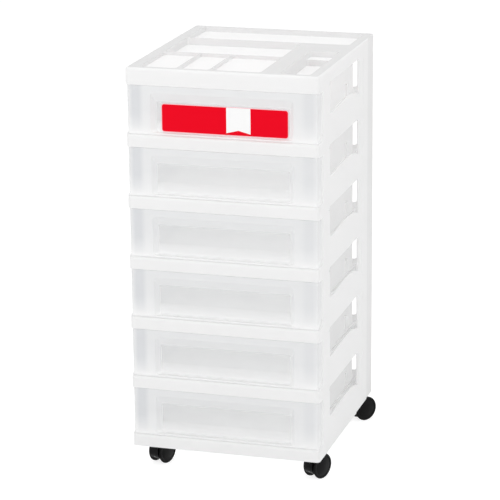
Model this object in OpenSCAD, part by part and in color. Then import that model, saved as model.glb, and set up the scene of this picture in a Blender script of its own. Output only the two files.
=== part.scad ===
// Rolling drawer tower: six stacked tier frames, six drawers that slide, an organizer top
// and four twin-wheel casters. Millimetres, +Z up, the floor at Z = 0, the front towards -Y.

/* [Frame] */
// Width of the frame across its sides
body_w = 313; // [285:1:345]
// Depth of the frame, front rail to back
body_d = 362; // [340:1:400]
// Height of one tier, from its lower edge to the next tier's
tier_h = 99.6; // [96:0.2:120]
// Thickness of the frame's moulded walls
wall = 2.2; // [1.8:0.1:2.8]
// Radius of the frame's corners, seen from above
corner_r = 6; // [5:0.5:14]
// Height of the front rail and of the deck that the drawer slides on
rail_h = 21; // [18:0.5:26]
// Radius of the rail's rounded upper edge
rail_edge_r = 4; // [2:0.5:5]
// Thickness of the deck
deck_t = 2.4; // [2:0.1:3]

/* [Side walls] */
// How far the side wall's front edge stands behind the front rail
side_setback = 24; // [20:1:32]
// Depth of the front post, from the side wall's front edge to the window
front_post_d = 42; // [38:1:56]
// Depth of the rear post, from the window to the back
rear_post_d = 110; // [100:1:120]
// How far the rear post stands back from the side wall's face
panel_step = 1.2; // [0.6:0.1:1.6]
// Depth of the plain strip on the rear post's corner, one step further back
strip_d = 46; // [30:1:54]
// Height of the window's sill at its front
sill_h = 55; // [48:1:60]
// Depth of the side wall's tail behind the window
tail_d = 37; // [30:1:50]
// How far the window's arch rises into the tier above
arch_h = 6.5; // [2:0.5:8]
// Thickness of the cheek beside the drawer front
cheek_t = 1.9; // [1.6:0.1:2]
// Width of the vertical grooves on the rear post
groove_w = 4; // [2:0.5:5]
// Depth of those grooves
groove_depth = 0.7; // [0.4:0.1:1]
// Width of the rear post's flange across the back
rear_flange_w = 27; // [22:1:36]
// Height of the rear rail
rear_rail_h = 35; // [30:1:44]
// Height of the guide ribs on the deck
guide_h = 9; // [6:0.5:12]
// Height of the runner strips under the drawer
runner_h = 0.8; // [0.5:0.1:1.2]
// Height of the tabs that plug a tier into the one above
tab_h = 6; // [4:0.5:8]

/* [Drawers] */
// Width of the drawer's tray outside
tray_w = 254; // [234:1:260]
// Thickness of the drawer's walls
tray_t = 2; // [1.6:0.1:2.4]
// Space between the tray and the back of the frame
tray_back_gap = 25; // [18:1:44]
// Space between the drawer's front and the tier above
front_drop = 1.2; // [1:0.1:8]
// How far the tray's rim lies below the top of the drawer's front
tray_drop = 7; // [4:0.5:24]
// How far the drawer's front stands behind the face of the rail
front_inset = 2.5; // [1.5:0.5:4]
// Width of the sunk window in the drawer's front
window_w = 231; // [226:1:244]
// Space between the window and the top of the drawer's front
window_drop = 11.4; // [9:0.1:13]
// Space between the window and the lower edge of the drawer's front
window_lift = 2.2; // [2:0.1:6]
// Depth of the sunk window
window_depth = 7; // [5:0.5:8]
// How far the drawer slides out
drawer_travel = 250; // [200:5:260]
// Width of the label
label_w = 206; // [160:1:208]
// Space between the label and the upper edge of the window's pane
label_drop = 2.3; // [1:0.1:12]
// Thickness of the label
label_t = 0.4; // [0.3:0.1:0.6]

/* [Organizer top] */
// Height of the organizer top
top_h = 27.2; // [26:0.2:32]
// Width of the rim round the compartments
rim_w = 17; // [14:0.5:20]
// Thickness of the walls between two compartments
divider_t = 3; // [2:0.5:4]
// Depth of the rear compartment, front to back
rear_cell_d = 98; // [80:1:105]
// Depth of the middle compartment, front to back
mid_cell_d = 116; // [100:1:125]
// Width of the right compartment
right_cell_w = 48.5; // [42:0.5:56]
// Width of the ridge beside the right compartment
ridge_w = 30.5; // [22:0.5:34]
// How deep the rear compartment is sunk
rear_cell_sink = 8; // [6:0.5:12]
// How deep the middle compartment is sunk
mid_cell_sink = 11.5; // [6:0.5:14]
// How deep the small front compartments are sunk
small_cell_sink = 5.5; // [5:0.5:12]
// How deep the right compartment's shelf is sunk
shelf_sink = 10; // [6:0.5:12]
// How deep the right compartment's well is sunk
well_sink = 20; // [14:0.5:22]

/* [Casters] */
// Diameter of a caster wheel
wheel_d = 42; // [38:1:46]
// Width of a caster wheel
wheel_w = 4.1; // [3.6:0.1:5]
// Width of a caster over both wheels
caster_w = 26; // [23:0.5:30]
// Distance of the wheel's axle behind the stem
trail = 16.5; // [15:0.5:18]
// Space between the wheel and the frame above it
wheel_headroom = 3.5; // [3:0.5:6]
// Distance of a stem from the frame's side
stem_side_inset = 25.5; // [19:0.5:36]
// Distance of a front stem from the front
stem_front_inset = 41; // [28:0.5:50]
// Distance of a rear stem from the back
stem_rear_inset = 32; // [22:0.5:40]
// Diameter of a stem
stem_d = 8; // [7:0.5:10]
// Length of the stem inside the frame
stem_grip = 17; // [12:0.5:17]
// Diameter of an axle
axle_d = 4; // [3:0.5:5]
// Turn of the front left caster
turn_fl = 20; // [-45:1:45]
// Turn of the front right caster
turn_fr = 26; // [-45:1:45]
// Turn of the rear left caster
turn_rl = -40; // [-45:1:45]
// Turn of the rear right caster
turn_rr = 40; // [-45:1:45]

/* [Hidden] */

$fn = 48;
eps = 0.01;
cut = 1;                    // how far a cut runs past the face that it opens
tier_count = 6;

// colours
frame_white = [0.95, 0.95, 0.95];
drawer_clear = [0.86, 0.88, 0.91, 0.6];
label_red = [0.92, 0.05, 0.16];
caster_black = [0.12, 0.12, 0.13];
steel = [0.7, 0.7, 0.72];

// heights
lift = wheel_d + wheel_headroom;        // the frame's lower edge above the floor
function tier_z(tier) = lift + (tier - 1) * tier_h;
top_z = tier_z(tier_count + 1);

// planes of the frame, measured from the tower's middle
half_w = body_w / 2;
front_y = -body_d / 2;
rear_y = body_d / 2;
wall_in_x = half_w - wall;              // inner face of the side walls
post_x = half_w - panel_step;           // outer face of the rear posts
post_in_x = post_x - wall;              // their inner face
side_y = front_y + side_setback;        // front edge of the side walls
window_y0 = side_y + front_post_d;
window_y1 = rear_y - rear_post_d;
step_y = window_y1 - 10;                // where the skirt steps in to the rear posts
strip_y = rear_y - strip_d;             // where the posts step in to their corner strips
tail_y = window_y1 + tail_d;            // end of the side wall's tail
tail_z = 15;                            // height of its tip
groove_places = [rear_y - 75, rear_y - 95];
arc_steps = 6;                          // points in a quarter round
curve_steps = 16;                       // points along the window's sill

// places of the four stems in plan
stem_x = half_w - stem_side_inset;
function stem_y(end) = end < 0 ? front_y + stem_front_inset : rear_y - stem_rear_inset;
stem_places = [for (side = [-1, 1], end = [-1, 1]) [side * stem_x, stem_y(end)]];

// the drawer and its running room
side_gap = 0.5;                         // drawer front to cheek, and to the side wall's edge
seat_gap = 0.3;                         // a piece at rest to what carries it
tray_gap = 1.2;                         // tray to guide rib, each side
front_w = 2 * (half_w - cheek_t - side_gap);
tray_z = rail_h + seat_gap;             // underside of the tray, above the tier's lower edge
front_z = tray_z;                       // underside of the drawer's front
front_h = tier_h - front_z - front_drop;
tray_h = front_h - tray_drop;
front_y0 = front_y + front_inset;       // face of the drawer's front
front_y1 = side_y - side_gap;           // rear edge of its returns
tray_y1 = rear_y - tray_back_gap;       // rear face of the tray
front_corner_r = max(corner_r - front_inset, tray_t + 0.5);
tray_corner_r = 10;
guide_x = tray_w / 2 + tray_gap;        // inner face of the guide ribs and front flanges
guide_t = 2;
guide_end = 16;                         // the guide ribs end this far from the back
runner_w = 6;
runner_in = 18;                         // a runner strip's edge, inward from the tray's side
runner_start = 20;                      // its front end behind the rail's face
catch_y = side_y + wall + drawer_travel + seat_gap;     // the lug meets the front flange when open
catch_w = 3.4;                          // how far a catch lug stands out of the tray
catch_d = 6;
catch_h = 24;
catch_lift = 4;                         // lug above the guide rib
window_x = -0.5;                        // middle of the sunk window
window_r = 5;
window_z0 = front_z + window_lift;
window_z1 = front_z + front_h - window_drop;
// how far the window's walls slope inward: left, right, top and bottom
window_slopes = [7.5, 7.5, 14.5, 0.8];
rim_lip = 1.5;                          // how far the tray's upper rim stands inward
rim_h = 3;
front_lip_d = 14;                       // depth of the drawer front's upper lip
label_x = 2.7;                          // middle of the label
label_lift = 0.4;                       // label above the pane's lower edge
label_r = 5;

// the caster
wheel_r = wheel_d / 2;
hood_gap = 0.4;                         // wheel to hood
hood_w = caster_w - 2 * (wheel_w + hood_gap);
hood_r = wheel_r - 1;
hood_lift = 9;                          // the hood's lower edge above the floor
hood_t = 2;
collar_t = 1.5;
collar_r = 9;
hood_top = lift - collar_t - seat_gap;
boss_r = stem_d / 2 + 2.5;
axle_boss_r = axle_d / 2 + 2.5;
stem_foot = 14;                         // lower end of the stem above the floor
running_gap = 0.05;                     // radial clearance of a turning fit
fixed_gap = 0.02;                       // radial clearance of a fixed pin
axle_end_gap = 1.6;                     // axle's end to the wheel's outer face

// ---------- helpers ----------

// points of an arc about (cx, cy)
function arc(cx, cy, r, a0, a1, steps = arc_steps) =
    [for (i = [0 : steps]) let (a = a0 + (a1 - a0) * i / steps) [cx + r * cos(a), cy + r * sin(a)]];

// outline of a rectangle with its corners rounded
function round_rect(x0, y0, x1, y1, r) = concat(
    arc(x1 - r, y1 - r, r, 0, 90),
    arc(x0 + r, y1 - r, r, 90, 180),
    arc(x0 + r, y0 + r, r, 180, 270),
    arc(x1 - r, y0 + r, r, 270, 360)
);

// one point of a cubic curve through four control points
function bezier(p, t) =
    pow(1 - t, 3) * p[0] + 3 * pow(1 - t, 2) * t * p[1] + 3 * (1 - t) * t * t * p[2] + pow(t, 3) * p[3];

// a box between two corners
module block(low, high) {
    translate(low)
        cube(high - low);
}

// an outline in plan, raised from z0 to z1
module rise(points, z0, z1) {
    translate([0, 0, z0])
        linear_extrude(z1 - z0)
            polygon(points);
}

// an outline in Y and Z, carried from x0 to x1
module across(points, x0, x1) {
    translate([x0, 0, 0])
        rotate([90, 0, 90])
            linear_extrude(x1 - x0)
                polygon(points);
}

// an outline in X and Z, carried from y0 to y1
module backward(points, y0, y1) {
    translate([0, y1, 0])
        rotate([90, 0, 0])
            linear_extrude(y1 - y0)
                polygon(points);
}

// a cylinder along X about the axle line
module along_x(r, x0, x1) {
    translate([x0, trail, wheel_r])
        rotate([0, 90, 0])
            cylinder(h = x1 - x0, r = r);
}

// the children and their mirror image on the other side
module both_sides() {
    children();
    mirror([1, 0, 0])
        children();
}

// points and, after them, their mirror image on the other side, going back
function with_mirror(points) =
    concat(points, [for (i = [len(points) - 1 : -1 : 0]) [-points[i][0], points[i][1]]]);

// the full outline in plan, drawn in by a margin
function plan(margin) =
    round_rect(-half_w + margin, front_y + margin, half_w - margin, rear_y - margin, corner_r - margin);

// the same outline with its steps at the rear posts
function stepped_plan(margin) = with_mirror(concat(
    arc(half_w - corner_r, front_y + corner_r, corner_r - margin, -90, 0),
    [[half_w - margin, step_y - margin], [post_x - margin, step_y - margin]],
    [[post_x - margin, strip_y - margin], [post_x - panel_step - margin, strip_y - margin]],
    arc(post_x - panel_step - corner_r, rear_y - corner_r, corner_r - margin, 0, 90)
));

// a hollow block with a closed top and a rounded upper edge, open below
module capped_block(h, top_t) {
    edge_in = rail_edge_r * (1 - cos(45));
    difference() {
        intersection() {
            union() {
                rise(plan(0), 0, h - rail_edge_r);
                hull() {
                    rise(plan(0), h - rail_edge_r - eps, h - rail_edge_r);
                    rise(plan(edge_in), h - edge_in - eps, h - edge_in);
                    rise(plan(rail_edge_r), h - eps, h);
                }
            }
            rise(stepped_plan(0), -cut, h + cut);
        }
        rise(stepped_plan(wall), -cut, h - top_t);
    }
}

// ---------- tier frame ----------

// control points of the window's sill in Y and Z, with its crown and the slope down to the tail
sill_curve = [
    [window_y0 + 10, sill_h],
    [window_y0 + 105, sill_h + 5],
    [window_y1 - 5, sill_h + 17],
    [tail_y, tail_z],
];
sill_corner_r = 8;

// the side wall in Y and Z: the front post, the low wall under the window and its tail
module side_wall() {
    y0 = side_y + wall;
    points = concat(
        [[y0, tier_h], [y0, 0], [step_y, 0], [step_y, arch_h - 1], [tail_y - 7, arch_h + 1]],
        [for (i = [curve_steps : -1 : 0]) bezier(sill_curve, i / curve_steps)],
        arc(window_y0 + sill_corner_r, sill_h + sill_corner_r, sill_corner_r, 260, 180),
        [[window_y0, tier_h]]
    );
    across(points, wall_in_x, half_w);
}

// a groove in plan, on the rear post's outer face
function groove(y) = [
    [post_x, y + groove_w / 2],
    [post_x - groove_depth, y + groove_w / 4],
    [post_x - groove_depth, y - groove_w / 4],
    [post_x, y - groove_w / 2],
];

// the rear corner post with its grooves, its corner strip and its flange across the back
module rear_post() {
    corner_x = post_x - panel_step - corner_r;
    corner_y = rear_y - corner_r;
    points = concat(
        [[post_in_x, window_y1], [post_in_x, strip_y - wall], [post_in_x - panel_step, strip_y - wall]],
        arc(corner_x, corner_y, corner_r - wall, 0, 90),
        [[post_x - rear_flange_w, rear_y - wall], [post_x - rear_flange_w, rear_y]],
        arc(corner_x, corner_y, corner_r, 90, 0),
        [[post_x - panel_step, strip_y], [post_x, strip_y]],
        groove(groove_places[0]),
        groove(groove_places[1]),
        [[post_x, window_y1]]
    );
    rise(points, rail_h - deck_t, tier_h);
}

// the front post: the side wall's front stretch with its rounded edge and inner flange
module front_post() {
    r = 2;
    points = concat(
        [[wall_in_x, side_y + 2 * wall], [half_w, side_y + 2 * wall]],
        [[half_w, side_y + r]],
        arc(half_w - r, side_y + r, r, 0, -90, 4),
        [[guide_x, side_y], [guide_x, side_y + wall], [wall_in_x, side_y + wall]]
    );
    rise(points, rail_h - deck_t, tier_h);
}

// the cheek that runs forward from the front post into the rail
module cheek() {
    reach = side_setback - corner_r;
    rise_h = 12;
    points = concat(
        [[side_y + wall, rail_h - rail_edge_r], [side_y + wall, rail_h + rise_h]],
        [for (i = [0 : arc_steps])
            let (a = 90 * i / arc_steps)
            [side_y - reach * (1 - cos(a)), rail_h + rise_h * (1 - sin(a))]],
        [[side_y - reach, rail_h - rail_edge_r]]
    );
    across(points, half_w - cheek_t, half_w);
}

// the rear rail with its rounded ends
module rear_rail() {
    inner = post_x - rear_flange_w;
    r = 8;
    points = with_mirror(concat(
        [[inner + cut, rail_h - deck_t], [inner + cut, rear_rail_h + r], [inner, rear_rail_h + r]],
        arc(inner - r, rear_rail_h + r, r, 0, -90)
    ));
    backward(points, rear_y - wall, rear_y);
}

// guide rib and runner strip on the deck
module deck_guides() {
    runner_x = tray_w / 2 - runner_in;
    block([guide_x, side_y + eps, rail_h - eps],
          [guide_x + guide_t, rear_y - guide_end, rail_h + guide_h]);
    block([runner_x, front_y + runner_start, rail_h - runner_h - eps],
          [runner_x + runner_w, tray_y1, rail_h]);
}

// tabs that plug into the skirt of the piece above, each on a pad that carries it
module post_tabs() {
    tab_d = 25;
    tab_t = 2.2;
    tab_gap = 0.4;
    tab_end = 3;
    pad_drop = 0.5;
    for (place = [[wall_in_x, side_y + front_post_d - tab_end], [post_in_x, strip_y - wall - tab_end]]) {
        x1 = place[0] - tab_gap;
        y0 = place[1] - tab_d;
        block([x1 - tab_t, y0, tier_h - tab_h], [x1, place[1], tier_h + tab_h]);
        block([x1 - eps, y0, tier_h - tab_h], [place[0] + wall / 2, place[1], tier_h - pad_drop]);
    }
}

// the arch over a window, cut from the lower edge of the piece above it
module arch_cut() {
    slope = 8;
    across([
        [window_y0 - slope - arch_h, -arch_h], [window_y0, arch_h],
        [window_y1, arch_h], [window_y1, -arch_h],
    ], -half_w - cut, half_w + cut);
}

module tier_frame(tier) {
    socket_r = boss_r + 1.5;
    color(frame_white)
    translate([0, 0, tier_z(tier)])
    difference() {
        union() {
            difference() {
                union() {
                    capped_block(rail_h - runner_h, deck_t);
                    both_sides()
                        side_wall();
                }
                if (tier > 1)
                    arch_cut();
            }
            both_sides() {
                front_post();
                rear_post();
                cheek();
                deck_guides();
                post_tabs();
            }
            rear_rail();
            if (tier == 1)
                for (p = stem_places)
                    translate([p[0], p[1], 0])
                        cylinder(h = rail_h - deck_t, r = socket_r);
        }
        if (tier == 1)
            for (p = stem_places)
                translate([p[0], p[1], -cut])
                    cylinder(h = stem_grip + seat_gap + cut, r = stem_d / 2 + fixed_gap);
    }
}

// ---------- drawer ----------

// outline of the tray in plan, drawn in by a margin, from its front end
function tray_plan(margin, y0) = concat(
    [[-tray_w / 2 + margin, y0], [tray_w / 2 - margin, y0]],
    arc(tray_w / 2 - tray_corner_r, tray_y1 - tray_corner_r, tray_corner_r - margin, 0, 90),
    arc(-tray_w / 2 + tray_corner_r, tray_y1 - tray_corner_r, tray_corner_r - margin, 90, 180)
);

// outline of the drawer's front in plan, drawn in by a margin, back to y1
function front_plan(margin, y1) = concat(
    [[front_w / 2 - margin, y1], [-front_w / 2 + margin, y1]],
    arc(-front_w / 2 + front_corner_r, front_y0 + front_corner_r, front_corner_r - margin, 180, 270),
    arc(front_w / 2 - front_corner_r, front_y0 + front_corner_r, front_corner_r - margin, 270, 360)
);

// outline of the sunk window: its rim at the front, or its pane when drawn in by the slopes
function window_outline(margin, slopes = [0, 0, 0, 0]) = round_rect(
    window_x - window_w / 2 - margin + slopes[0], window_z0 - margin + slopes[3],
    window_x + window_w / 2 + margin - slopes[1], window_z1 + margin - slopes[2], window_r
);

// the window's sunk shape from its rim back to its pane
module window_well(margin, y0, y1) {
    hull() {
        backward(window_outline(margin), y0 - eps, y0);
        backward(window_outline(margin, window_slopes), y1 - eps, y1);
    }
}

module drawer_front() {
    difference() {
        union() {
            difference() {
                rise(front_plan(0, front_y1), front_z, front_z + front_h);
                rise(front_plan(tray_t, front_y1 + cut), front_z - cut, front_z + front_h - tray_t);
                block([-half_w, front_y0 + front_lip_d, front_z + front_h - tray_t - cut],
                      [half_w, front_y1 + cut, front_z + front_h + cut]);
            }
            both_sides()
                block([front_w / 2 - tray_t, front_y0 + front_lip_d - cut, front_z],
                      [front_w / 2, front_y1, front_z + front_h]);
            intersection() {
                window_well(tray_t, front_y0 + tray_t / 2, front_y0 + window_depth + tray_t);
                rise(front_plan(0, front_y1), front_z, front_z + front_h);
            }
        }
        window_well(0, front_y0, front_y0 + window_depth);
        backward(window_outline(0), front_y0 - cut, front_y0);
    }
}

module tray() {
    y0 = front_y0 + tray_t / 2;
    difference() {
        rise(tray_plan(0, y0), tray_z, tray_z + tray_h);
        rise(tray_plan(tray_t, y0 - cut), tray_z + tray_t, tray_z + tray_h - rim_h);
        rise(tray_plan(tray_t + rim_lip, y0 - cut), tray_z + tray_t, tray_z + tray_h + cut);
    }
    both_sides()
        block([tray_w / 2 - tray_t / 2, catch_y, rail_h + guide_h + catch_lift],
              [tray_w / 2 + catch_w, catch_y + catch_d, rail_h + guide_h + catch_lift + catch_h]);
}

module drawer(tier) {
    color(drawer_clear)
    translate([0, 0, tier_z(tier)]) {
        drawer_front();
        tray();
    }
}

module drawer_label() {
    z0 = window_z0 + window_slopes[3] + label_lift;
    z1 = window_z1 - window_slopes[2] - label_drop;
    pane_y = front_y0 + window_depth;
    color(label_red)
        translate([0, 0, tier_z(tier_count)])
            backward(round_rect(label_x - label_w / 2, z0, label_x + label_w / 2, z1, label_r),
                     pane_y - label_t, pane_y);
}

// ---------- organizer top ----------

rim_more = 5;                           // the rim is this much wider at the left
rim_less = 6;                           // and this much narrower at the front and the back
cell_x0 = -half_w + rim_w + rim_more;
cell_x1 = half_w - rim_w;
cell_y0 = front_y + rim_w - rim_less;
cell_y1 = rear_y - rim_w + rim_less;
rear_cell_y = cell_y1 - rear_cell_d;
mid_cell_y = rear_cell_y - divider_t - mid_cell_d;
right_cell_x = cell_x1 - right_cell_w;
left_cells_x1 = right_cell_x - ridge_w;
right_cell_y1 = rear_cell_y - 59;       // rear edge of the right compartment's shelf
well_y1 = right_cell_y1 - 23;           // and of its well
small_steps = [0, 62, 115];             // left edges of the small compartments, from the first one's
small_x = [for (s = small_steps) cell_x0 + s, left_cells_x1 + divider_t];
cell_r = 6;

// every compartment as [x0, y0, x1, y1, sink]
cells = concat(
    [[cell_x0, rear_cell_y, cell_x1, cell_y1, rear_cell_sink]],
    [[cell_x0, mid_cell_y, left_cells_x1, rear_cell_y - divider_t, mid_cell_sink]],
    [for (i = [0 : 2])
        [small_x[i], cell_y0, small_x[i + 1] - divider_t, mid_cell_y - divider_t, small_cell_sink]],
    [[right_cell_x, cell_y0, cell_x1, right_cell_y1, shelf_sink]],
    [[right_cell_x, cell_y0, cell_x1, well_y1, well_sink]]
);

module organizer_top() {
    color(frame_white)
    translate([0, 0, top_z])
    difference() {
        union() {
            difference() {
                capped_block(top_h, wall);
                arch_cut();
            }
            for (c = cells)
                rise(round_rect(c[0] - wall, c[1] - wall, c[2] + wall, c[3] + wall, cell_r + wall),
                     top_h - c[4] - wall, top_h - wall / 2);
        }
        for (c = cells)
            rise(round_rect(c[0], c[1], c[2], c[3], cell_r), top_h - c[4], top_h + cut);
    }
}

// ---------- casters ----------

// puts the children at a stem, turned with the caster
module at_stem(side, end, turn) {
    translate([side * stem_x, stem_y(end), 0])
        rotate([0, 0, -turn])
            children();
}

module caster_stem(side, end, turn) {
    color(steel)
    at_stem(side, end, turn) {
        translate([0, 0, stem_foot])
            cylinder(h = lift + stem_grip - stem_foot, r = stem_d / 2);
        translate([0, 0, lift - collar_t])
            cylinder(h = collar_t, r = collar_r);
    }
}

// side outline of the hood in Y and Z: round about the axle, with a nose round the stem
function hood_outline() = let (
    low_a = -asin((wheel_r - hood_lift) / hood_r),
    high_a = 112,
    nose_r = 13,
    nose_a = 264,
    nose_y = -boss_r + nose_r
) concat(
    arc(trail, wheel_r, hood_r, low_a, high_a, 16),
    [[boss_r, hood_top], [-boss_r, hood_top]],
    arc(nose_y, hood_lift + nose_r, nose_r, 180, nose_a)
);

module caster_housing(side, end, turn) {
    inner = hood_w / 2 - hood_t;
    color(caster_black)
    at_stem(side, end, turn)
    difference() {
        across(hood_outline(), -hood_w / 2, hood_w / 2);
        difference() {
            intersection() {
                along_x(hood_r - hood_t, -inner, inner);
                block([-inner - cut, boss_r, 0], [inner + cut, trail + hood_r, wheel_d]);
            }
            along_x(axle_boss_r, -hood_w, hood_w);
        }
        along_x(axle_d / 2 + fixed_gap, -hood_w, hood_w);
        translate([0, 0, stem_foot - seat_gap])
            cylinder(h = lift, r = stem_d / 2 + running_gap);
    }
}

module caster_axle(side, end, turn) {
    reach = caster_w / 2 - axle_end_gap;
    color(steel)
    at_stem(side, end, turn)
        along_x(axle_d / 2, -reach, reach);
}

// one wheel: tread, domed outer face with a sunk ring, and a blind bore from the inside
module caster_wheel(side, end, turn, hand) {
    x0 = caster_w / 2 - wheel_w;
    x1 = caster_w / 2;
    edge = 0.8;
    dish_r = wheel_r - 4;
    color(caster_black)
    at_stem(side, end, turn)
    translate([0, trail, wheel_r])
    rotate([0, 90 * hand, 0])
    rotate_extrude($fn = 96)
        polygon([
            [axle_d / 2 + running_gap, x0],
            [wheel_r - edge, x0],
            [wheel_r, x0 + edge],
            [wheel_r, x1 - 2 * edge],
            [wheel_r - edge, x1 - edge],
            [dish_r + edge, x1 - edge / 2],
            [dish_r, x1 - edge],
            [dish_r - 2 * edge, x1 - edge],
            [dish_r - 3 * edge, x1 - edge / 2],
            [0, x1],
            [0, x1 - axle_end_gap + seat_gap],
            [axle_d / 2 + running_gap, x1 - axle_end_gap + seat_gap],
        ]);
}

// ---------- nodes ----------

organizer_top();
tier_frame(1);  // tier_frame_1
tier_frame(2);  // tier_frame_2
tier_frame(3);  // tier_frame_3
tier_frame(4);  // tier_frame_4
tier_frame(5);  // tier_frame_5
tier_frame(6);  // tier_frame_6
drawer(1);  // drawer_1
drawer(2);  // drawer_2
drawer(3);  // drawer_3
drawer(4);  // drawer_4
drawer(5);  // drawer_5
drawer(6);  // drawer_6
drawer_label();
caster_stem(-1, -1, turn_fl);  // front_left_stem
caster_housing(-1, -1, turn_fl);  // front_left_housing
caster_axle(-1, -1, turn_fl);  // front_left_axle
caster_wheel(-1, -1, turn_fl, -1);  // front_left_wheel_a
caster_wheel(-1, -1, turn_fl, 1);  // front_left_wheel_b
caster_stem(1, -1, turn_fr);  // front_right_stem
caster_housing(1, -1, turn_fr);  // front_right_housing
caster_axle(1, -1, turn_fr);  // front_right_axle
caster_wheel(1, -1, turn_fr, -1);  // front_right_wheel_a
caster_wheel(1, -1, turn_fr, 1);  // front_right_wheel_b
caster_stem(-1, 1, turn_rl);  // rear_left_stem
caster_housing(-1, 1, turn_rl);  // rear_left_housing
caster_axle(-1, 1, turn_rl);  // rear_left_axle
caster_wheel(-1, 1, turn_rl, -1);  // rear_left_wheel_a
caster_wheel(-1, 1, turn_rl, 1);  // rear_left_wheel_b
caster_stem(1, 1, turn_rr);  // rear_right_stem
caster_housing(1, 1, turn_rr);  // rear_right_housing
caster_axle(1, 1, turn_rr);  // rear_right_axle
caster_wheel(1, 1, turn_rr, -1);  // rear_right_wheel_a
caster_wheel(1, 1, turn_rr, 1);  // rear_right_wheel_b
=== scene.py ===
"""Rolling drawer tower: finishes, label, casters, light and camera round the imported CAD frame.

Everything is in metres, in the frame of the CAD: +Z up, the floor at Z = 0, the front towards -Y.
"""

from __future__ import annotations

import logging
import math
from dataclasses import dataclass
from enum import Enum
from typing import Any, Mapping, Union

import bpy
from mathutils import Matrix, Vector

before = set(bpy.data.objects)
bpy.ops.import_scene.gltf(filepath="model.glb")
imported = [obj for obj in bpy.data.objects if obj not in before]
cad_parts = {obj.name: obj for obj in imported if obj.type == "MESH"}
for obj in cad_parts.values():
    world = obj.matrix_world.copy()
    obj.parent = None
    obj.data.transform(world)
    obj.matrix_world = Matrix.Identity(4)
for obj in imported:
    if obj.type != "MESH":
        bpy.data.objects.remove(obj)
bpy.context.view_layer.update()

LOG = logging.getLogger("drawer_tower")
MM = 0.001
ACROSS, UP = 0, 2

Colour = tuple[float, float, float, float]


def srgb(red: int, green: int, blue: int) -> Colour:
    """A colour as it shows on screen, 0 to 255 each, in the linear values that a shader takes.

    Args:
        red: Share of red.
        green: Share of green.
        blue: Share of blue.

    Returns:
        Linear red, green, blue and a full alpha.
    """

    def linear(level: int) -> float:
        """One channel from screen level to linear light."""
        share = level / 255
        return share / 12.92 if share <= 0.04045 else ((share + 0.055) / 1.055) ** 2.4

    return (linear(red), linear(green), linear(blue), 1.0)


# ---------- shader maths ----------


class Wire:
    """A node's output that takes part in Python expressions."""

    def __init__(self, graph: "Graph", socket: bpy.types.NodeSocket) -> None:
        """Keeps the output and the graph that its Math nodes go into."""
        self.graph = graph
        self.socket = socket

    def __add__(self, other: "Number") -> "Wire":
        """Sum."""
        return self.graph.maths("ADD", self, other)

    def __radd__(self, other: "Number") -> "Wire":
        """Sum, with the number first."""
        return self.graph.maths("ADD", other, self)

    def __sub__(self, other: "Number") -> "Wire":
        """Difference."""
        return self.graph.maths("SUBTRACT", self, other)

    def __rsub__(self, other: "Number") -> "Wire":
        """Difference, with the number first."""
        return self.graph.maths("SUBTRACT", other, self)

    def __mul__(self, other: "Number") -> "Wire":
        """Product."""
        return self.graph.maths("MULTIPLY", self, other)

    def __rmul__(self, other: "Number") -> "Wire":
        """Product, with the number first."""
        return self.graph.maths("MULTIPLY", other, self)

    def __truediv__(self, other: "Number") -> "Wire":
        """Quotient."""
        return self.graph.maths("DIVIDE", self, other)

    def __abs__(self) -> "Wire":
        """Size without its sign."""
        return self.graph.maths("ABSOLUTE", self)

    def least(self, other: "Number") -> "Wire":
        """The smaller of the two."""
        return self.graph.maths("MINIMUM", self, other)

    def most(self, other: "Number") -> "Wire":
        """The larger of the two."""
        return self.graph.maths("MAXIMUM", self, other)

    def over(self, edge: float, soft: float) -> "Wire":
        """1 above the edge and 0 below it, with a soft step between.

        Args:
            edge: Value in the middle of the step.
            soft: Width of the step.

        Returns:
            The mask.
        """
        return self.graph.maths("ADD", (self - edge) / soft, 0.5, clamp=True)


Number = Union[Wire, float]


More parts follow.
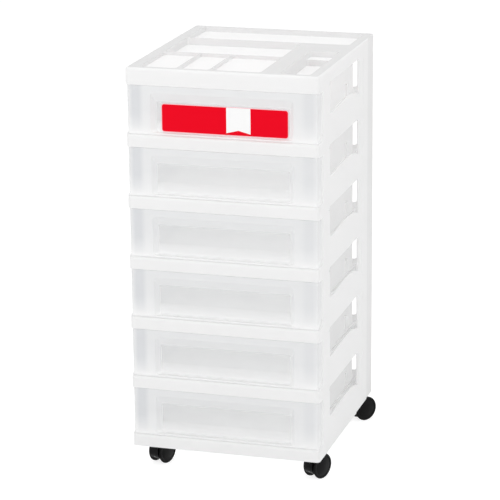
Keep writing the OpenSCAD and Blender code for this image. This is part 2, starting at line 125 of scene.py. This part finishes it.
class Graph:
    """The node tree of one material or world."""

    def __init__(self, tree: bpy.types.NodeTree) -> None:
        """Empties the tree."""
        self.tree = tree
        self.tree.nodes.clear()

    def node(
        self,
        kind: str,
        settings: Mapping[str, Any] | None = None,
        sockets: Mapping[Union[str, int], Any] | None = None,
    ) -> bpy.types.Node:
        """Adds one node.

        Args:
            kind: The node's type.
            settings: Its settings, which are set first.
            sockets: Values or wires for its inputs, by name or number.

        Returns:
            The node.
        """
        made = self.tree.nodes.new(kind)
        for key, value in (settings or {}).items():
            setattr(made, key, value)
        for key, value in (sockets or {}).items():
            if isinstance(value, Wire):
                self.tree.links.new(value.socket, made.inputs[key])
            else:
                made.inputs[key].default_value = value
        return made

    def wire(self, made: bpy.types.Node, output: Union[str, int] = 0) -> Wire:
        """One of a node's outputs, ready for expressions."""
        return Wire(self, made.outputs[output])

    def maths(self, operation: str, first: Number, second: Number = 0.0, clamp: bool = False) -> Wire:
        """One Math node."""
        return self.wire(
            self.node("ShaderNodeMath", {"operation": operation, "use_clamp": clamp}, {0: first, 1: second})
        )

    def place(self) -> tuple[Wire, Wire, Wire, Wire]:
        """The point of the surface at rest: as a vector, and its X, Y and Z, in metres."""
        point = self.wire(self.node("ShaderNodeTexCoord"), "Object")
        split = self.node("ShaderNodeSeparateXYZ", None, {0: point})
        return point, self.wire(split, 0), self.wire(split, 1), self.wire(split, 2)

    def facing(self, axis: int) -> Wire:
        """How far the surface faces along an axis: 1 straight along it, 0 square to it, -1 against it."""
        normal = self.wire(self.node("ShaderNodeTexCoord"), "Normal")
        return self.wire(self.node("ShaderNodeSeparateXYZ", None, {0: normal}), axis)

    def noise(self, point: Wire, scale: float, detail: float = 2.0, roughness: float = 0.5) -> Wire:
        """Smooth noise from 0 to 1.

        Args:
            point: Where it is read.
            scale: Waves in a metre.
            detail: Finer layers added.
            roughness: How strong those are.

        Returns:
            The noise's value.
        """
        settings = {"noise_dimensions": "3D", "normalize": True}
        sockets = {"Vector": point, "Scale": scale, "Detail": detail, "Roughness": roughness}
        return self.wire(self.node("ShaderNodeTexNoise", settings, sockets), 0)

    def stretched(self, point: Wire, scale: tuple[float, float, float]) -> Wire:
        """The point with each of its axes scaled."""
        settings = {"vector_type": "POINT"}
        return self.wire(self.node("ShaderNodeMapping", settings, {"Vector": point, "Scale": scale}))

    def blend(self, share: Number, first: Union[Wire, Colour], second: Union[Wire, Colour]) -> Wire:
        """A colour between two others."""
        made = self.node("ShaderNodeMix", {"data_type": "RGBA"}, {0: share, 6: first, 7: second})
        return self.wire(made, 2)

    def bump(self, height: Wire, depth: float, strength: float = 1.0) -> Wire:
        """A normal from a height.

        Args:
            height: Height from 0 to 1.
            depth: Depth of the relief in metres.
            strength: Share of the relief that shows.

        Returns:
            The normal.
        """
        sockets = {"Height": height, "Distance": depth, "Strength": strength}
        return self.wire(self.node("ShaderNodeBump", None, sockets))


def new_material(name: str) -> tuple[bpy.types.Material, Graph]:
    """An empty material and its graph."""
    material = bpy.data.materials.new(name)
    material.use_nodes = True
    return material, Graph(material.node_tree)


def principled(
    graph: Graph,
    sockets: Mapping[Union[str, int], Any],
    lets_light: float = 0.0,
    glows: Number = 0.0,
) -> None:
    """Ends a graph in one Principled shader, with plastic that lets light through where asked.

    Args:
        graph: The graph.
        sockets: Values or wires for the shader's inputs.
        lets_light: Share of the light that goes on through the plastic, from a lamp or a lit face.
        glows: Share of the light on the far face that shows on the near one.
    """
    shader = graph.wire(graph.node("ShaderNodeBsdfPrincipled", None, sockets))
    if isinstance(glows, Wire) or glows:
        back = graph.wire(graph.node("ShaderNodeBsdfTranslucent", None, {0: srgb(252, 252, 252)}))
        shader = graph.wire(graph.node("ShaderNodeMixShader", None, {0: glows, 1: shader, 2: back}))
    if lets_light:
        path = graph.node("ShaderNodeLightPath")
        light = graph.wire(path, "Is Shadow Ray").most(graph.wire(path, "Is Diffuse Ray"))
        clear = graph.wire(graph.node("ShaderNodeBsdfTransparent"))
        mixed = graph.node("ShaderNodeMixShader", None, {0: light * lets_light, 1: shader, 2: clear})
        shader = graph.wire(mixed)
    graph.node("ShaderNodeOutputMaterial", None, {"Surface": shader})


# ---------- finishes ----------


@dataclass(frozen=True)
class FramePlastic:
    """White moulded plastic: a satin face with a fine spark-eroded grain and slow flow marks, painted shade on
    the rear corner strips, the organizer's rims and well walls, and painted light on its well floors.
    """

    colour: Colour = srgb(245, 245, 245)
    shade: Colour = srgb(243, 243, 243)
    # Painted shade: a darker tone on the rear corner strips of the side walls.
    corner: Colour = srgb(234, 234, 234)
    # Painted shade and light in the organizer top: darker rim tops and well walls, brighter well floors.
    rim_shade: Colour = srgb(222, 222, 222)
    recess_shade: Colour = srgb(236, 236, 236)
    floor: Colour = srgb(253, 253, 253)
    roughness: float = 0.42
    shaded_strip: tuple[float, float] = (150.0 * MM, 135.0 * MM)
    well: tuple[float, float] = (148.0 * MM, 176.0 * MM)
    top_z: float = 644.0 * MM
    rim_z: float = 669.9 * MM
    seam: float = 1.0 * MM
    relief: float = 0.05 * MM
    lets_light: float = 0.8
    glows: float = 0.15

    def material(self) -> bpy.types.Material:
        """The finish as a material."""
        material, g = new_material("white_moulded_plastic")
        point, x, y, z = g.place()
        flow = g.noise(g.stretched(point, (1.0, 1.0, 0.35)), 9.0, 3.0)
        # Painted shade on the rear corner strip of each side wall.
        shaded_strip = abs(x).over(self.shaded_strip[0], self.seam) * y.over(self.shaded_strip[1], 0.6 * self.seam)
        inside = z.over(self.top_z, self.seam) * (1 - abs(x).over(self.well[0], 2 * self.seam))
        inside = inside * (1 - abs(y).over(self.well[1], 2 * self.seam))
        # Painted shade on well walls that don't face up, and painted light on the well floors.
        wall = inside * (1 - g.facing(UP).over(0.6, 0.4))
        rim_shade = z.over(self.rim_z, 0.4 * self.seam) * (1 - wall)
        plain = g.blend(shaded_strip, g.blend(flow.over(0.5, 0.45), self.colour, self.shade), self.corner)
        floor = inside * (1 - wall) * (1 - rim_shade)
        toned = g.blend(wall, g.blend(rim_shade, g.blend(floor, plain, self.floor), self.rim_shade), self.recess_shade)
        grain = g.noise(point, 1400.0, 2.0, 0.6)
        waves = g.noise(point, 38.0, 1.0)
        normal = g.bump(grain * 0.55 + waves * 0.45, self.relief)
        principled(g, {
            "Base Color": toned,
            "Roughness": self.roughness + grain * 0.08 + flow * 0.06 - 0.07,
            "IOR": 1.49,
            "Normal": normal,
        }, self.lets_light, self.glows)
        return material


@dataclass(frozen=True)
class DrawerPlastic:
    """Frosted clear plastic: milky at the drawer's front border, clearer in the sunk window and the tray, with
    painted light at the border's foot, painted shade near its ends and painted shade on the tray's inner side
    walls.
    """

    # Painted light: the border is near white at its foot and fades to its plain tone higher up.
    painted_light_low: Colour = srgb(254, 254, 254)
    high: Colour = srgb(235, 236, 237)
    # Painted shade near both ends of the border, stronger at the left end.
    end_shade: Colour = srgb(219, 221, 224)
    end_x: tuple[float, float] = (131.0 * MM, 148.0 * MM)
    end_soft: tuple[float, float] = (8.0 * MM, 6.0 * MM)
    end_rise: tuple[float, float] = (38.0 * MM, 30.0 * MM)
    foot: tuple[float, float] = (26.5 * MM, 12.0 * MM)
    fade: tuple[float, float] = (46.0 * MM, 30.0 * MM)
    tray: Colour = srgb(252, 252, 252)
    # Painted shade on the inner faces of the tray's side walls.
    inner_wall_shade: Colour = srgb(196, 197, 200)
    tier_h: float = 99.6 * MM
    lift: float = 45.5 * MM
    front_y: float = -157.2 * MM
    pane_y: float = -173.5 * MM
    pane_x: tuple[float, float] = (-0.5 * MM, 108.0 * MM)
    pane_z: tuple[float, float] = (24.0 * MM, 72.7 * MM)
    border_alpha: float = 0.75
    window_alpha: float = 0.3
    milky: float = 0.4
    milky_z: tuple[float, float] = (36.0 * MM, 16.0 * MM)
    tray_alpha: float = 0.82
    lets_light: float = 0.9
    border_glow: float = 0.12
    tray_glow: float = 0.5
    side_x: float = 105.0 * MM
    seam: float = 2.0 * MM
    relief: float = 0.04 * MM

    def material(self) -> bpy.types.Material:
        """The finish as a material."""
        material, g = new_material("frosted_drawer_plastic")
        point, x, y, z = g.place()
        height = g.maths("MODULO", z - self.lift, self.tier_h)
        border = 1 - y.over(self.front_y, 1.5 * self.seam)
        window = 1 - abs(x - self.pane_x[0]).over(self.pane_x[1], self.seam)
        window = window * height.over(self.pane_z[0], self.seam) * (1 - height.over(self.pane_z[1], self.seam))
        window = window * y.over(self.pane_y, self.seam) * border
        frost = border * (1 - window)
        cloud = g.noise(g.stretched(point, (1.0, 1.0, 2.2)), 16.0, 3.0)
        grain = g.noise(point, 1500.0, 2.0, 0.6)
        alpha = self.tray_alpha + frost * (self.border_alpha - self.tray_alpha)
        milky = (1 - height.over(*self.milky_z)) * self.milky
        alpha = alpha + window * (self.window_alpha + milky - self.tray_alpha) + (cloud - 0.5) * 0.06
        # Painted light: brighter towards the foot of each tier's border.
        tone = height.over(*self.foot) * 0.5 + height.over(*self.fade) * 0.5
        # Painted shade near the ends of the border, stronger at the left end.
        end_shade = abs(x).over(self.end_x[0], self.end_soft[0])
        end_shade = end_shade * (1 - abs(x).over(self.end_x[1], self.end_soft[1]))
        end_shade = end_shade * height.over(*self.end_rise) * (1 - x.over(0.0, 100 * MM) * 0.5)
        face = g.blend(end_shade, g.blend(tone, self.painted_light_low, self.high), self.end_shade)
        # Painted shade on the tray's inner side walls.
        shaded = (x * g.facing(ACROSS) * -1).over(self.side_x, 10 * self.seam)
        tray = g.blend(shaded, self.tray, self.inner_wall_shade)
        glows = self.tray_glow + border * (self.border_glow - self.tray_glow)
        principled(g, {
            "Base Color": g.blend(border, tray, face),
            "Roughness": 0.2 + frost * 0.16 + cloud * 0.06,
            "IOR": 1.49,
            "Alpha": alpha,
            "Normal": g.bump(grain * frost + cloud * 0.4, self.relief),
        }, self.lets_light, alpha * glows)
        return material


@dataclass(frozen=True)
class LabelFilm:
    """Printed film: red with a pale key line and a blank white ribbon that ends in a swallowtail."""

    red: Colour = srgb(238, 2, 32)
    white: Colour = srgb(250, 250, 250)
    key_line: Colour = srgb(248, 196, 204)
    middle: tuple[float, float] = (2.7 * MM, 590.95 * MM)
    size: tuple[float, float] = (206.0 * MM, 45.5 * MM)
    radius: float = 5.0 * MM
    ribbon: tuple[float, float, float] = (25.0 * MM, 39.0 * MM, 577.0 * MM)
    notch: float = 0.256
    line_w: float = 1.1 * MM
    print_edge: float = 0.3 * MM

    def material(self) -> bpy.types.Material:
        """The finish as a material."""
        material, g = new_material("printed_label_film")
        point, x, y, z = g.place()
        across = abs(x - self.middle[0]) - (self.size[0] / 2 - self.radius)
        up = abs(z - self.middle[1]) - (self.size[1] / 2 - self.radius)
        corner = g.maths("SQRT", across.most(0.0) * across.most(0.0) + up.most(0.0) * up.most(0.0))
        edge = corner + across.most(up).least(0.0)
        line = edge.over(self.radius - self.line_w, self.print_edge)
        aside = abs(x - self.ribbon[0])
        ribbon = 1 - aside.over(self.ribbon[1] / 2, self.print_edge)
        ribbon = ribbon * (z + aside * self.notch).over(self.ribbon[2], self.print_edge)
        printed = g.blend(ribbon, self.red, self.white)
        grain = g.noise(point, 2600.0, 1.0)
        tone = g.noise(point, 60.0, 2.0)
        principled(g, {
            "Base Color": g.blend(line, printed, self.key_line),
            "Roughness": 0.33 + tone * 0.08 + ribbon * 0.06,
            "IOR": 1.48,
            "Specular IOR Level": 0.06,
            "Normal": g.bump(grain * 0.5 + tone * 0.5, 0.00002),
        })
        return material


class CasterPart(Enum):
    """Parts of a caster that differ in finish."""

    HOOD = "hood"
    WHEEL = "wheel"


@dataclass(frozen=True)
class CasterPlastic:
    """Black plastic of the casters: a satin hood, and wheels with dull, lightly scuffed treads."""

    part: CasterPart
    colour: Colour = srgb(11, 11, 12)
    worn: Colour = srgb(24, 24, 25)

    def material(self) -> bpy.types.Material:
        """The finish as a material."""
        material, g = new_material(f"black_caster_{self.part.value}")
        point, _, _, _ = g.place()
        grain = g.noise(point, 1800.0, 2.0, 0.6)
        scuff = g.noise(point, 210.0, 4.0, 0.65)
        dull = 0.36 if self.part is CasterPart.HOOD else 0.46
        principled(g, {
            "Base Color": g.blend(scuff.over(0.62, 0.2) * 0.6, self.colour, self.worn),
            "Roughness": dull + scuff * 0.12 + grain * 0.06 - 0.09,
            "IOR": 1.5,
            "Specular IOR Level": 0.1,
            "Normal": g.bump(grain * 0.7 + scuff * 0.3, 0.00005),
        })
        return material


@dataclass(frozen=True)
class CasterSteel:
    """Bright zinc-plated steel with fine turning marks."""

    colour: Colour = srgb(196, 197, 200)
    patina: Colour = srgb(172, 174, 178)

    def material(self) -> bpy.types.Material:
        """The finish as a material."""
        material, g = new_material("plated_steel")
        point, _, _, _ = g.place()
        turned = g.noise(g.stretched(point, (1.0, 1.0, 14.0)), 420.0, 2.0)
        patina = g.noise(point, 160.0, 3.0)
        principled(g, {
            "Base Color": g.blend(patina, self.colour, self.patina),
            "Metallic": 1.0,
            "Roughness": 0.24 + patina * 0.14,
            "Normal": g.bump(turned, 0.00002),
        })
        return material


# ---------- pieces ----------


def dress(piece: bpy.types.Object, material: bpy.types.Material) -> None:
    """Gives a CAD node its finish.

    Args:
        piece: The node's object.
        material: Its material, in every slot it has.
    """
    slots = piece.data.materials
    if not slots:
        slots.append(material)
    for number in range(len(slots)):
        slots[number] = material


def soften(piece: bpy.types.Object, width: float, segments: int = 2) -> None:
    """Rounds a CAD node's sharp edges with modifiers, and leaves its mesh as it is.

    Args:
        piece: The node's object.
        width: Width of the rounding in metres.
        segments: Faces across it.
    """
    weld = piece.modifiers.new("weld", "WELD")
    weld.merge_threshold = 1e-5
    flat = piece.modifiers.new("flat", "DECIMATE")
    flat.decimate_type = "DISSOLVE"
    flat.angle_limit = math.radians(1.5)
    edge = piece.modifiers.new("edge", "BEVEL")
    edge.width = width
    edge.segments = segments
    edge.limit_method = "ANGLE"
    edge.angle_limit = math.radians(32)
    edge.harden_normals = True


@dataclass
class TowerFrame:
    """The six tier frames and the organizer top: white mouldings with softened edges."""

    edge: float = 0.7 * MM
    tiers: int = 6

    def build(self) -> None:
        """Dresses the frames and the organizer top."""
        plastic = FramePlastic().material()
        names = [f"tier_frame_{tier}" for tier in range(1, self.tiers + 1)] + ["organizer_top"]
        for name in names:
            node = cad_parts[name]
            soften(node, self.edge)
            dress(node, plastic)
            LOG.info("dressed %s", name)


@dataclass
class Drawers:
    """The six drawers and the label on the top one."""

    edge: float = 0.6 * MM
    film_edge: float = 0.1 * MM
    count: int = 6

    def build(self) -> None:
        """Dresses the drawers and their label."""
        plastic = DrawerPlastic().material()
        for number in range(1, self.count + 1):
            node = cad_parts[f"drawer_{number}"]
            soften(node, self.edge)
            dress(node, plastic)
            LOG.info("dressed drawer_%d", number)
        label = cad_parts["drawer_label"]
        soften(label, self.film_edge, 1)
        dress(label, LabelFilm().material())
        LOG.info("dressed drawer_label")


@dataclass
class Casters:
    """The four twin-wheel casters."""

    edge: float = 0.8 * MM
    fine_edge: float = 0.3 * MM
    hood: Colour = srgb(3, 3, 4)
    hood_worn: Colour = srgb(12, 12, 13)
    corners: tuple[str, ...] = ("front_left", "front_right", "rear_left", "rear_right")

    def build(self) -> None:
        """Dresses every caster's pieces."""
        hood = CasterPlastic(CasterPart.HOOD, self.hood, self.hood_worn).material()
        wheel = CasterPlastic(CasterPart.WHEEL).material()
        steel = CasterSteel().material()
        for corner in self.corners:
            for part, material, width in (
                ("stem", steel, self.fine_edge),
                ("housing", hood, self.edge),
                ("axle", steel, self.fine_edge),
                ("wheel_a", wheel, self.fine_edge),
                ("wheel_b", wheel, self.fine_edge),
            ):
                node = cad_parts[f"{corner}_{part}"]
                soften(node, width)
                dress(node, material)
            LOG.info("dressed the %s caster", corner)


# ---------- studio ----------


@dataclass
class Studio:
    """Pale floor, white surround, soft lamps and the camera at the photograph's angle."""

    azimuth: float = 16.595
    elevation: float = 15.95
    roll: float = -0.511
    distance: float = 3.986847
    lens: float = 174.78
    target: tuple[float, float, float] = (-0.009275, 0.0, 0.335315)
    world_light: float = 0.58
    key_w: float = 26.0
    fill_w: float = 15.8
    top_w: float = 18.0
    floor_glow: float = 0.8
    floor_w: float = 12.0
    sensor: float = 36.0

    def build(self) -> None:
        """Makes the floor, the world, the lamps and the camera."""
        self.surround()
        self.floor()
        self.lamp("key", (-1.3, -2.4, 1.8), 1.8, self.key_w)
        self.lamp("fill", (2.4, -0.9, 1.5), 1.8, self.fill_w)
        self.lamp("top", (0.1, 0.4, 2.9), 1.6, self.top_w)
        self.camera()

    @staticmethod
    def seen(graph: Graph) -> Wire:
        """1 for a ray that shows the surround: from the camera, a gloss or clear matter."""
        path = graph.node("ShaderNodeLightPath")
        camera, glossy, clear = (
            graph.wire(path, name) for name in ("Is Camera Ray", "Is Glossy Ray", "Is Transmission Ray")
        )
        return camera.most(glossy).most(clear)

    def surround(self) -> None:
        """A white world that lights the object at a plain level."""
        world = bpy.data.worlds.new("surround")
        world.use_nodes = True
        bpy.context.scene.world = world
        g = Graph(world.node_tree)
        light = g.wire(g.node("ShaderNodeBackground", None, {0: (1, 1, 1, 1), 1: self.world_light}))
        white = g.wire(g.node("ShaderNodeBackground", None, {0: (1, 1, 1, 1), 1: 1.0}))
        mixed = g.node("ShaderNodeMixShader", None, {0: self.seen(g), 1: light, 2: white})
        g.node("ShaderNodeOutputWorld", None, {"Surface": g.wire(mixed)})

    def floor(self) -> None:
        """A wide pale floor that shows white and keeps a faint shadow."""
        mesh = bpy.data.meshes.new("floor")
        half = self.floor_w / 2
        corners = [(-half, -half, 0), (half, -half, 0), (half, half, 0), (-half, half, 0)]
        mesh.from_pydata(corners, [], [(0, 1, 2, 3)])
        piece = bpy.data.objects.new("floor", mesh)
        bpy.context.scene.collection.objects.link(piece)
        material, g = new_material("pale_floor")
        speckle = g.noise(g.place()[0], 240.0, 2.0)
        pale = g.blend(speckle, srgb(249, 249, 249), srgb(252, 252, 252))
        plain = g.wire(g.node("ShaderNodeBsdfDiffuse", None, {0: pale}))
        faint = g.wire(g.node("ShaderNodeBsdfDiffuse", None, {0: srgb(168, 168, 168)}))
        glow = g.wire(g.node("ShaderNodeEmission", None, {0: (1, 1, 1, 1), 1: self.floor_glow}))
        shown = g.wire(g.node("ShaderNodeAddShader", None, {0: faint, 1: glow}))
        mixed = g.node("ShaderNodeMixShader", None, {0: self.seen(g), 1: plain, 2: shown})
        g.node("ShaderNodeOutputMaterial", None, {"Surface": g.wire(mixed)})
        mesh.materials.append(material)

    def lamp(self, name: str, place: tuple[float, float, float], size: float, power: float) -> None:
        """One square soft lamp, turned to the middle of the tower.

        Args:
            name: The lamp's name.
            place: Where it hangs.
            size: Side of its square in metres.
            power: Its power in watts.
        """
        light = bpy.data.lights.new(name, "AREA")
        light.shape = "SQUARE"
        light.size = size
        light.energy = power
        piece = bpy.data.objects.new(name, light)
        bpy.context.scene.collection.objects.link(piece)
        piece.location = place
        piece.rotation_euler = (Vector(self.target) - Vector(place)).to_track_quat("-Z", "Y").to_euler()

    def camera(self) -> None:
        """The camera at the photograph's angle and distance."""
        az, el, roll = (math.radians(a) for a in (self.azimuth, self.elevation, self.roll))
        back = Vector((math.sin(az) * math.cos(el), -math.cos(az) * math.cos(el), math.sin(el)))
        right = Vector((math.cos(az), math.sin(az), 0.0))
        up = back.cross(right)
        turned_right = right * math.cos(roll) + up * math.sin(roll)
        turned_up = up * math.cos(roll) - right * math.sin(roll)
        view = bpy.data.cameras.new("camera")
        view.lens = self.lens
        view.sensor_width = self.sensor
        view.clip_end = 50.0
        piece = bpy.data.objects.new("camera", view)
        bpy.context.scene.collection.objects.link(piece)
        spot = Vector(self.target) + back * self.distance
        piece.matrix_world = Matrix.Translation(spot) @ Matrix(
            (turned_right, turned_up, back)
        ).transposed().to_4x4()
        bpy.context.scene.camera = piece


def main() -> None:
    """Builds the tower's looks in order."""
    logging.basicConfig(level=logging.INFO, format="%(message)s")
    bpy.context.scene.view_settings.view_transform = "Standard"
    cycles = bpy.context.scene.cycles
    cycles.max_bounces, cycles.diffuse_bounces, cycles.transparent_max_bounces = 16, 10, 24
    Studio().build()
    TowerFrame().build()
    Drawers().build()
    Casters().build()


if __name__ == "__main__":
    main()
